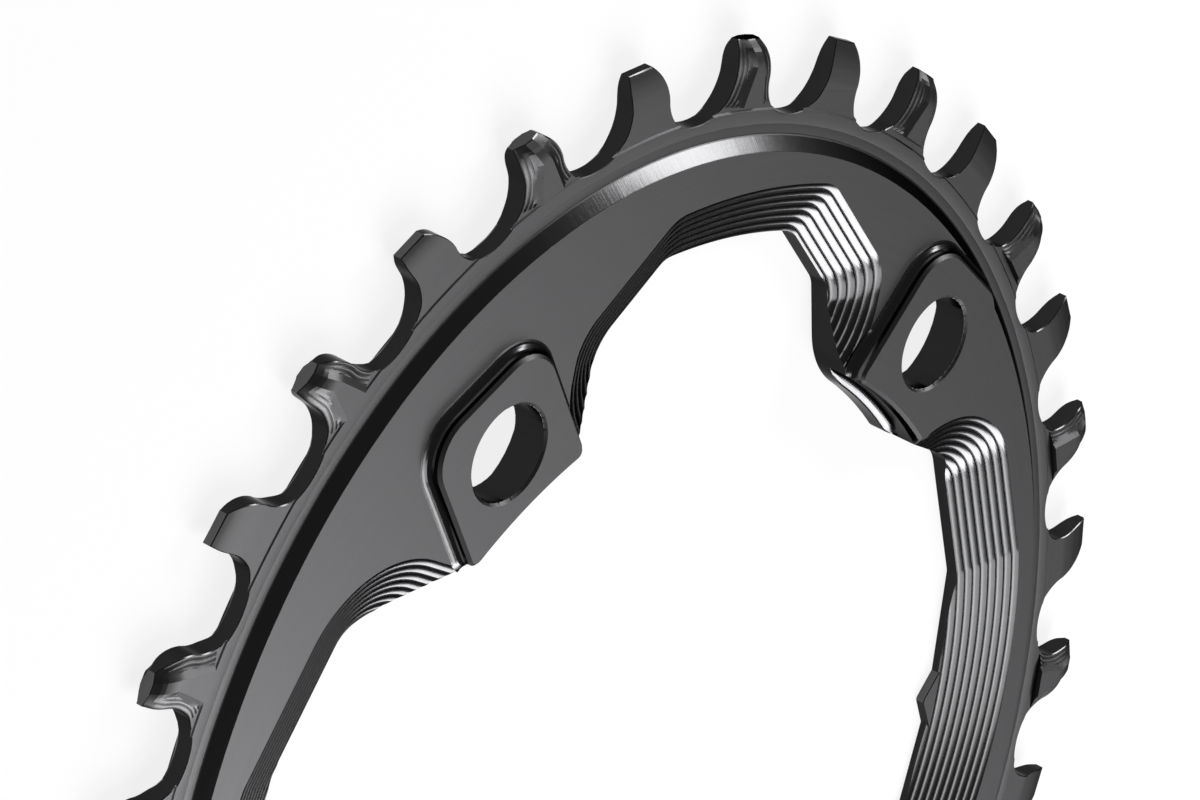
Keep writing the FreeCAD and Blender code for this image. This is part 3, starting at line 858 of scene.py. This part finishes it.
class Outline:
    """Region inside several sides, with round corners between neighbours.

    Further in, the corners of a steady outline keep their radius, and others grow tighter.
    """

    def __init__(self, sides, corners, inside, steady=False):
        self.sides = sides
        self.steady = steady
        self.corners = []
        for first, second, radius in corners:
            self.corners.append(self.round_corner(sides[first], sides[second], radius, inside))

    def round_corner(self, first, second, radius, inside):
        """Centre, radius and end directions of a corner's arc."""
        centre = np.asarray(inside, float)
        for _ in range(CORNER_TRIES):
            for side in (first, second):
                centre = centre + side.outward(centre) * (side.inset(centre) - radius)
        return centre, radius, first.outward(centre), second.outward(centre)

    def inset(self, points):
        points = np.asarray(points, float)
        deep = np.min([side.inset(points) for side in self.sides], axis=0)
        for centre, radius, start, end in self.corners:
            away = points - centre
            if self.steady:
                level, within = self.steady_corner(away, radius, start, end)
                deep = np.where(within, np.minimum(deep, level), deep)
            else:
                arc = radius - np.linalg.norm(away, axis=-1)
                deep = np.where(between(away, start, end), arc, deep)
        return deep

    def steady_corner(self, away, radius, start, end):
        """Inset at which an arc of the same radius, moved inward, meets each point."""
        shift = -(start + end) / (1 + start @ end)
        limits = sorted([radius * cross(shift, start), radius * cross(shift, end)])
        sideways = cross(shift, away)
        length = shift @ shift
        along = away @ shift
        root = along ** 2 - length * (np.sum(away * away, axis=-1) - radius ** 2)
        level = (along + np.sqrt(np.maximum(root, 0))) / length
        return level, (sideways > limits[0]) & (sideways < limits[1])


def mirrored_outline(lines, rim, radii, steady=False):
    """Outline with X = 0 in its middle: straight sides up to a round rim, and their mirror images."""
    sides = [Line(angle, reach) for angle, reach in lines] + [Round((0, 0), rim)]
    sides += [Line(180 - angle, reach) for angle, reach in lines[::-1]]
    corners = [(k, k + 1, radius) for k, radius in enumerate(radii + radii[::-1])]
    return Outline(sides, corners, HIGH_CENTRE, steady)


def high_outline():
    """Terrace outline of the window above."""
    foot_centre = np.array([HIGH_SIDE - HIGH_FOOT_CORNER, HIGH_FOOT_HEIGHT])
    foot = foot_centre @ polar(1.0, -HIGH_FOOT_ANGLE) + HIGH_FOOT_CORNER
    lines = [(-HIGH_FOOT_ANGLE, foot), (0, HIGH_SIDE), (HIGH_SLANT_ANGLE, HIGH_SLANT)]
    radii = [HIGH_FOOT_CORNER, HIGH_CORNER, HIGH_TOP_CORNER]
    return mirrored_outline(lines, HIGH_RIM, radii, steady=True)


def high_opening():
    """Open area of the window above."""
    lines = [(HIGH_OPENING_SIDE_ANGLE, HIGH_OPENING_SIDE), (HIGH_SLANT_ANGLE, HIGH_OPENING_SLANT)]
    return mirrored_outline(lines, HIGH_OPENING_RIM, [HIGH_OPENING_CORNER] * len(lines))


def side_outline():
    """Terrace outline of the window on the +X side."""
    sides = [
        Line(-SIDE_END_ANGLE, LOWER_END),
        Line(-LOWER_SLANT_ANGLE, LOWER_SLANT),
        Round((0, -SIDE_SHIFT), SIDE_RIM),
        Line(UPPER_SLANT_ANGLE, UPPER_SLANT),
        Line(SIDE_END_ANGLE, UPPER_END),
    ]
    corners = [(0, 1, SIDE_CORNER), (3, 4, SIDE_CORNER)]
    return Outline(sides, corners, SIDE_CENTRE)


def side_opening():
    """Open area of the window on the +X side."""
    sides = [Line(angle, reach) for angle, reach in SIDE_OPENING_EDGES]
    sides.insert(0, Line(-SIDE_OPENING_END_ANGLE, SIDE_OPENING_END))
    sides.append(Line(SIDE_OPENING_END_ANGLE, SIDE_OPENING_END))
    corners = [(0, 1, SIDE_OPENING_CORNER), (-2, -1, SIDE_OPENING_CORNER)]
    return Outline(sides, corners, SIDE_CENTRE)


HIGH_OUTLINE, SIDE_OUTLINE = high_outline(), side_outline()
OUTLINES = [(HIGH_OUTLINE, HIGH_CENTRE), (SIDE_OUTLINE, SIDE_CENTRE)]
OPENINGS = [(high_opening(), HIGH_CENTRE), (side_opening(), SIDE_CENTRE)]


def window_inset(points, windows):
    """How far inside the nearest window a point lies; each one has a half-turned twin."""
    points = np.asarray(points, float)
    insets = []
    for outline, centre in windows:
        for place in (points, -points):
            insets.append(np.where(place @ centre > 0, outline.inset(place), FAR_OUTSIDE))
    return np.max(insets, axis=0)


def terrace_height(inset):
    return WEB_TOP + scallop(inset, TERRACE_WIDTH, TERRACE_DROP, TERRACE_SAG)


def ground(points):
    """Height of the web and the terraces under a point."""
    return terrace_height(window_inset(points, OUTLINES))


def opening_joins():
    """Round joins between the inner edge and the windows' ends: centre, normal of the end, radius."""
    high, side = HIGH_OPENING_SIDE_ANGLE, SIDE_OPENING_END_ANGLE
    ends = [
        (high, HIGH_OPENING_SIDE, 1, HIGH_BLEND),
        (180 - high, HIGH_OPENING_SIDE, -1, HIGH_BLEND),
        (side, SIDE_OPENING_END, -1, SIDE_BLEND),
        (-side, SIDE_OPENING_END, 1, SIDE_BLEND),
    ]
    joins = []
    for angle, reach, turn, blend in ends:
        swing = math.degrees(math.acos((reach + blend) / (INNER_RADIUS + blend)))
        centre = polar(INNER_RADIUS + blend, angle + turn * swing)
        for half_turn in (1, -1):
            joins.append((half_turn * centre, half_turn * polar(1.0, angle), blend))
    return joins


OPENING_JOINS = opening_joins()


def open_inset(points):
    """How far inside the open middle a point lies, with round joins to the windows."""
    points = np.asarray(points, float)
    middle = INNER_RADIUS - np.linalg.norm(points, axis=-1)
    deep = np.maximum(middle, window_inset(points, OPENINGS))
    for centre, normal, blend in OPENING_JOINS:
        away = points - centre
        distance = np.linalg.norm(away, axis=-1)
        within = between(away, -centre / np.linalg.norm(centre), -normal) & (distance < 2 * blend)
        deep = np.where(within, distance - blend, deep)
    return deep


def crossing(field, inner, outer):
    """Points between inner, where the field is positive, and outer, where it meets zero."""
    low, high = np.zeros(len(inner)), np.ones(len(inner))
    for _ in range(FIELD_HALVINGS):
        middle = (low + high) / 2
        inside = field(inner + (outer - inner) * middle[:, None]) > 0
        low, high = np.where(inside, middle, low), np.where(inside, high, middle)
    return inner + (outer - inner) * low[:, None]


def inset_loop(outline, centre, inset, count):
    """Closed loop at an inset of an outline, seen from its centre."""
    rays = polar(1.0, np.linspace(0, 360, count, endpoint=False))
    start = np.broadcast_to(centre, rays.shape)
    return crossing(lambda place: outline.inset(place) - inset, start, start + rays * BOSS_RAY_REACH)


def boss_outline(angle):
    """Outline of a boss, in line with the ring's axis, with its inner end on the ledge."""
    sides = [
        Line(angle - 90, BOSS_HALF_WIDTH),
        Line(angle, BOSS_REACH),
        Line(angle + 90, BOSS_HALF_WIDTH),
        Round((0, 0), LEDGE_RADIUS, sign=-1),
    ]
    corners = [(0, 1, BOSS_CORNER), (1, 2, BOSS_CORNER)]
    corners += [(2, 3, BOSS_INNER_CORNER), (3, 0, BOSS_INNER_CORNER)]
    return Outline(sides, corners, polar(BOLT_RADIUS, angle))


# The terraces: columns of points from the web's edge in to the open lip

def ledge_end(inside, outside):
    """Place on the ledge's circle where the open edge crosses it, between two angles."""
    turn = halved(lambda turn: open_inset(polar(LEDGE_RADIUS, turn)) > 0, inside, outside, FIELD_HALVINGS)
    return polar(LEDGE_RADIUS, turn)


def window_edge(outline, centre, bosses):
    """Places along a window's outline where it lies on the ring, from boss to boss."""
    turn = angle_of(centre)
    angles = np.linspace(-180, 180, WINDOW_RAYS, endpoint=False) + turn
    start = np.broadcast_to(centre, (WINDOW_RAYS, 2))
    edge = crossing(outline.inset, start, start + polar(WINDOW_RAY_REACH, angles))
    kept = edge[(np.linalg.norm(edge, axis=1) > LEDGE_RADIUS) & (open_inset(edge) < 0)]
    first, last = (ledge_end(turn, boss) for boss in bosses)
    return np.concatenate([[first], kept, [last]])


def even_out(line, spacing):
    """The same line with points at an even spacing."""
    steps = np.linalg.norm(np.diff(line, axis=0), axis=1)
    along = np.concatenate([[0], np.cumsum(steps)])
    wanted = np.linspace(0, along[-1], int(along[-1] / spacing) + 1)
    return np.stack([np.interp(wanted, along, line[:, k]) for k in (0, 1)], axis=-1)


def off_ledge(points):
    return np.linalg.norm(points, axis=-1) - LEDGE_RADIUS


def terrace_rows(outline, edge, stop):
    """Rows of points over the terraces, from their edge on the web in to the last wall."""
    rows = [lifted(edge, terrace_height(np.minimum(outline.inset(edge), 0)))]
    for j in range(1, TERRACE_COUNT * SCALLOP_CUTS + 1):
        level = TERRACE_WIDTH * j / SCALLOP_CUTS
        place = crossing(lambda points: level - outline.inset(points), edge, stop)
        rows.append(lifted(place, terrace_height(np.minimum(outline.inset(place), level))))
    return rows + [lifted(stop, terrace_height(outline.inset(stop)))]


def cove(outer, inner, low, high):
    """Rows of a hollow ledge, from the foot of the wall above in to its own inner edge."""
    widest = math.radians(COVE_ANGLE)
    rise = np.clip(high - low, 0, COVE_RISE)
    rows = []
    for turn in np.radians(np.linspace(COVE_ANGLE, 0, COVE_CUTS + 1)):
        place = inner + (outer - inner) * math.sin(turn) / math.sin(widest)
        share = (1 - math.cos(turn)) / (1 - math.cos(widest))
        rows.append(lifted(place, low + rise * share))
    return rows


def terrace_patch(outline, centre, bosses):
    """Edge on the web, lip, and rows of points between them and down to the back."""
    edge = even_out(window_edge(outline, centre, bosses), TERRACE_COLUMN)
    lip = crossing(open_inset, np.broadcast_to(centre, edge.shape), edge)
    lip[0], lip[-1] = edge[0], edge[-1]
    over_ledge = off_ledge(lip) < 0
    stop = np.where(over_ledge[:, None], crossing(off_ledge, edge, lip), lip)
    rows = terrace_rows(outline, edge, stop)
    wall_foot = rows[-1][:, 2]
    rows += cove(stop, lip, np.where(over_ledge, LEDGE_TOP, wall_foot), wall_foot)
    return edge, lip, rows + [lifted(lip, 0)]


def add_terraces():
    """The four terraced windows, with the web's inner edge and the lip in order."""
    edges, lips = [], []
    upper, left = BOLT_ANGLES[:2]
    patches = [
        terrace_patch(SIDE_OUTLINE, SIDE_CENTRE, (-upper, upper)),
        terrace_patch(HIGH_OUTLINE, HIGH_CENTRE, (upper, left)),
    ]
    steps = TERRACE_COUNT * SCALLOP_CUTS + 2
    for turn in (1, -1):
        for edge, lip, rows in patches:
            turned = np.array(rows) * [turn, turn, 1]
            skin.grid(turned[:steps], MILLED)
            skin.grid(turned[steps - 1:steps + 1], SHADED_WALL)
            skin.grid(turned[steps:-1], MILLED)
            skin.grid(turned[-2:], SHADED_WALL)
            edges.append(edge * turn)
            lips.append(lip * turn)
    return edges, lips


TERRACE_EDGES, LIPS = add_terraces()


def arc_to_next(line, next_line, radius):
    """Arc about the ring's axis from the end of one line to the start of the next."""
    start, end = angle_of(line[-1]), angle_of(next_line[0])
    return polar(radius, start + ((end - start) % 360) * np.linspace(0, 1, LEDGE_CUTS + 1))


def add_ledges():
    """Wall and hollow ledge beside each boss; gives the web's inner edge and the lip."""
    web_edge, open_edge = [], []
    for k, edge in enumerate(TERRACE_EDGES):
        after = (k + 1) % len(TERRACE_EDGES)
        wall = arc_to_next(edge, TERRACE_EDGES[after], LEDGE_RADIUS)
        skin.grid([lifted(wall, WEB_TOP), lifted(wall, LEDGE_TOP + COVE_RISE)], SHADED_WALL)
        web_edge += [edge, wall[1:-1]]

        near, far = (arc_to_next(LIPS[k], LIPS[after], radius) for radius in OPEN_EDGE_SEARCH)
        lip = crossing(open_inset, near, far)
        lip[0], lip[-1] = LIPS[k][-1], LIPS[after][0]
        back = polar(LEDGE_RADIUS, angle_of(lip))
        skin.grid(cove(back, lip, LEDGE_TOP, LEDGE_TOP + COVE_RISE), MILLED)
        skin.grid([lifted(lip, LEDGE_TOP), lifted(lip, 0)], SHADED_WALL)
        open_edge += [LIPS[k], lip[1:-1]]
    return np.concatenate(web_edge), np.concatenate(open_edge)


def add_web(web_edge):
    """Flat web, left open under each boss."""
    outer = at_depth(FRONT_ANGLES, WEB_EDGE)
    seats = []
    for angle in BOLT_ANGLES:
        seats.append(inset_loop(boss_outline(angle), polar(BOLT_RADIUS, angle), BOSS_SEAT, SEAT_CUTS))
    skin.plate([outer, web_edge] + seats, WEB_TOP, TURNED)


def add_back(open_edge):
    """Flat back, with a counterbore at each bolt."""
    outer = at_depth(BACK_ANGLES, BACK_EDGE)
    recess = polar(COUNTERBORE_RADIUS, np.arange(0, 360, COUNTERBORE_TURN))
    recesses = [recess + polar(BOLT_RADIUS, angle) for angle in BOLT_ANGLES]
    skin.plate([outer, open_edge] + recesses, 0, TURNED, up=False)


WEB_INNER_EDGE, OPEN_EDGE = add_ledges()
add_web(WEB_INNER_EDGE)
add_back(OPEN_EDGE)


# The bosses and their bores

def fillet_ground(points):
    """Height of the web, or of the slope along the crests of the terraces."""
    past_edge = np.maximum(window_inset(points, OUTLINES), 0)
    return WEB_TOP - TERRACE_DROP / TERRACE_WIDTH * past_edge


def boss_fillet(outline, centre):
    """Rows of the hollow fillet at a boss's foot, from its wall out into the ground."""
    rows = []
    for turn in np.linspace(0, math.pi / 2, FILLET_CUTS):
        away = BOSS_FILLET * (1 - math.cos(turn))
        rise = BOSS_FILLET * (1 - math.sin(turn))
        place = inset_loop(outline, centre, -away, BOSS_RAYS)
        radius = np.linalg.norm(place, axis=1)
        place = place * np.maximum(1, LEDGE_RADIUS / radius)[:, None]
        rows.append(lifted(place, fillet_ground(place) + rise))
    return rows + [lifted(place, ground(place) - FILLET_SINK)]


def add_boss(angle):
    """Raised boss with its bore, and the counterbore behind it."""
    centre = polar(BOLT_RADIUS, angle)
    outline = boss_outline(angle)
    rays = polar(1.0, np.linspace(0, 360, BOSS_RAYS, endpoint=False))
    top = [
        lifted(centre + rays * BORE_RADIUS, BOSS_TOP - BORE_CHAMFER),
        lifted(centre + rays * (BORE_RADIUS + BORE_CHAMFER), BOSS_TOP),
        lifted(inset_loop(outline, centre, BOSS_EDGE, BOSS_RAYS), BOSS_TOP),
        lifted(inset_loop(outline, centre, 0, BOSS_RAYS), BOSS_TOP - BOSS_EDGE),
    ]
    skin.grid(top, TURNED, flip=True, closed=True)
    skin.grid(top[-1:] + boss_fillet(outline, centre), MILLED, flip=True, closed=True)

    bore = centre + rays[::BORE_STEP] * BORE_RADIUS
    recess = centre + rays[::BORE_STEP] * COUNTERBORE_RADIUS
    levels = [(bore, BOSS_TOP - BORE_CHAMFER), (bore, COUNTERBORE_DEPTH)]
    levels += [(recess, COUNTERBORE_DEPTH), (recess, 0)]
    skin.grid([lifted(loop, z) for loop, z in levels], SHADED_WALL, closed=True)


for bolt_angle in BOLT_ANGLES:
    add_boss(bolt_angle)


def add_pointer():
    """Small pointed lug on the lip of the +X window."""
    root, tip = POINTER_FOOT + POINTER_DEPTH, POINTER_FOOT - POINTER_REACH
    half = [(root, POINTER_HALF_WIDTH), (POINTER_FOOT, POINTER_HALF_WIDTH), (tip, POINTER_TIP_WIDTH / 2)]
    outer = np.array(half + [(x, -y) for x, y in half[::-1]])
    top = outer + [EDGE_BREAK, 0]
    top[:, 1] *= 1 - EDGE_BREAK / POINTER_HALF_WIDTH
    walls = [lifted(outer, 0), lifted(outer, POINTER_TOP - EDGE_BREAK), lifted(top, POINTER_TOP)]
    skin.grid(walls, MILLED)
    skin.plate([top], POINTER_TOP, TURNED)
    skin.plate([outer], 0, MILLED, up=False)


add_pointer()


# The skin as one piece

def make_piece(name, materials):
    """Mesh object of the whole skin, welded, with its small bends kept sharp."""
    mesh = bpy.data.meshes.new(name)
    points = [[value * MM for value in point] for point in skin.points]
    mesh.from_pydata(points, [], skin.faces)
    for polygon, finish in zip(mesh.polygons, skin.finishes):
        polygon.material_index = finish
        polygon.use_smooth = True
    for material in materials:
        mesh.materials.append(material)
    work = bmesh.new()
    work.from_mesh(mesh)
    bmesh.ops.remove_doubles(work, verts=work.verts, dist=WELD * MM)
    bmesh.ops.dissolve_degenerate(work, edges=work.edges, dist=WELD * MM)
    work.to_mesh(mesh)
    work.free()
    mesh.set_sharp_from_angle(angle=math.radians(FINE_ANGLE))
    piece = bpy.data.objects.new(name, mesh)
    bpy.context.scene.collection.objects.link(piece)
    return piece


# Materials

def feed(material, socket, source):
    """Give an input a plain value, or link it to another node's output."""
    if isinstance(source, bpy.types.NodeSocket):
        material.node_tree.links.new(source, socket)
    else:
        socket.default_value = source


def feed_named(material, node, sources):
    """Feed a node's inputs by name, with a low line for each space."""
    for name, source in sources.items():
        feed(material, node.inputs[name.replace("_", " ")], source)


def new_node(material, kind, **sources):
    """New node of a material, with its inputs fed."""
    node = material.node_tree.nodes.new(kind)
    feed_named(material, node, sources)
    return node


def worked_out(material, kind, operation, *sources):
    """Output of one operation on other nodes' outputs and plain values."""
    node = material.node_tree.nodes.new(kind)
    node.operation = operation
    for socket, source in zip(node.inputs, sources):
        feed(material, socket, source)
    return next(output for output in node.outputs if output.enabled)


def ring_place(material):
    """Plain place, and place on the ring as turn, radius and height, in radians and metres."""
    place = new_node(material, "ShaderNodeTexCoord").outputs["Object"]
    x, y, z = new_node(material, "ShaderNodeSeparateXYZ", Vector=place).outputs
    flat = worked_out(material, "ShaderNodeVectorMath", "MULTIPLY", place, (1, 1, 0))
    radius = worked_out(material, "ShaderNodeVectorMath", "LENGTH", flat)
    turn = worked_out(material, "ShaderNodeMath", "ARCTAN2", y, x)
    return place, new_node(material, "ShaderNodeCombineXYZ", X=turn, Y=radius, Z=z).outputs["Vector"]


def streaks(material, place, stretch):
    """Noise drawn out into streaks; stretch is how fine it is along each axis."""
    drawn = worked_out(material, "ShaderNodeVectorMath", "MULTIPLY", place, stretch)
    noise = new_node(material, "ShaderNodeTexNoise", Vector=drawn, Scale=1.0, Detail=MARK_DETAIL)
    return noise.outputs["Fac"]


def bumped(material, height, depth, **under):
    """Normal of a surface with small heights on it, over another one if that is given."""
    bump = new_node(material, "ShaderNodeBump", Height=height, Strength=1.0, Distance=depth, **under)
    return bump.outputs["Normal"]


def anodised_aluminium(name, colour, edge_tint, roughness, marks, depth):
    """Black anodised aluminium: tool marks, grain of the coat, and their change of sheen."""
    material = bpy.data.materials.new(name)
    material.use_nodes = True
    place, around = ring_place(material)
    tool = streaks(material, around, marks)
    grain = streaks(material, place, GRAIN_FINENESS)
    tone = new_node(material, "ShaderNodeValToRGB", Fac=tool)
    for element, share in zip(tone.color_ramp.elements, (1 - COLOUR_CHANGE, 1 + COLOUR_CHANGE)):
        element.color = [value * share for value in colour] + [1]
    dull, shiny = roughness + SHEEN_CHANGE, roughness - SHEEN_CHANGE
    sheen = new_node(material, "ShaderNodeMapRange", Value=grain, To_Min=shiny, To_Max=dull)
    scored = bumped(material, tool, depth)
    look = {
        "Base Color": tone.outputs["Color"],
        "Metallic": 1.0,
        "Specular Tint": edge_tint,
        "Roughness": sheen.outputs["Result"],
        "Normal": bumped(material, grain, GRAIN_DEPTH, Normal=scored),
    }
    feed_named(material, material.node_tree.nodes["Principled BSDF"], look)
    return material


finishes = [anodised_aluminium(name, *look) for name, look in FINISHES.items()]
ring = make_piece("chainring_machined", finishes)
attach(ring, "root")
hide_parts("chainring")


# Stage, lights and camera

def white_paint():
    """White paint that takes shadows, most of it plain white wherever it is seen."""
    material = bpy.data.materials.new("white_floor")
    material.use_nodes = True
    nodes = material.node_tree.nodes
    nodes.remove(nodes["Principled BSDF"])
    lit = new_node(material, "ShaderNodeBsdfDiffuse", Color=FLOOR_PAINT)
    plain = new_node(material, "ShaderNodeEmission", Strength=1.0)
    rays = new_node(material, "ShaderNodeLightPath").outputs
    seen = rays["Is Camera Ray"]
    for ray in ("Is Glossy Ray", "Is Transmission Ray"):
        seen = worked_out(material, "ShaderNodeMath", "MAXIMUM", seen, rays[ray])
    share = worked_out(material, "ShaderNodeMath", "MULTIPLY", seen, PLAIN_WHITE_SHARE)
    mix = new_node(material, "ShaderNodeMixShader")
    for socket, source in zip(mix.inputs, (share, lit.outputs[0], plain.outputs[0])):
        feed(material, socket, source)
    feed(material, nodes["Material Output"].inputs["Surface"], mix.outputs["Shader"])
    return material


def white_floor():
    """Wide white floor under the ring."""
    mesh = bpy.data.meshes.new("floor")
    corners = [(x * FLOOR_HALF, y * FLOOR_HALF, 0) for x, y in ((-1, -1), (1, -1), (1, 1), (-1, 1))]
    mesh.from_pydata(corners, [], [(0, 1, 2, 3)])
    mesh.materials.append(white_paint())
    floor = bpy.data.objects.new("floor", mesh)
    bpy.context.scene.collection.objects.link(floor)
    return floor


def add_soft_box(name, azimuth, elevation, wide, high, radiance):
    """Rectangular soft light that faces the ring."""
    lamp = bpy.data.lights.new(name, "AREA")
    lamp.shape = "RECTANGLE"
    lamp.size = 2 * LIGHT_DISTANCE * math.tan(math.radians(wide) / 2)
    lamp.size_y = 2 * LIGHT_DISTANCE * math.tan(math.radians(high) / 2)
    lamp.energy = radiance * math.pi * lamp.size * lamp.size_y
    light = bpy.data.objects.new(name, lamp)
    turn, rise = math.radians(azimuth), math.radians(elevation)
    level = math.cos(rise)
    towards = Vector((level * math.cos(turn), level * math.sin(turn), math.sin(rise)))
    light.location = towards * LIGHT_DISTANCE
    light.rotation_euler = towards.to_track_quat("Z", "Y").to_euler()
    bpy.context.scene.collection.objects.link(light)


def add_room():
    """Even grey light from all round."""
    world = bpy.data.worlds.new("studio")
    world.use_nodes = True
    world.node_tree.nodes["Background"].inputs["Color"].default_value = ROOM_GREY
    bpy.context.scene.world = world


def add_camera():
    lens = bpy.data.cameras.new("camera")
    lens.lens = FOCAL_LENGTH
    lens.sensor_width = SENSOR_WIDTH
    lens.shift_x, lens.shift_y = LENS_SHIFT
    camera = bpy.data.objects.new("camera", lens)
    camera.location = CAMERA_PLACE
    camera.rotation_euler = [math.radians(angle) for angle in CAMERA_TURN]
    bpy.context.scene.collection.objects.link(camera)
    bpy.context.scene.camera = camera


bpy.context.scene.view_settings.view_transform = "Standard"
add_room()
for name, look in SOFT_BOXES.items():
    add_soft_box(name, *look)
white_floor()
add_camera()
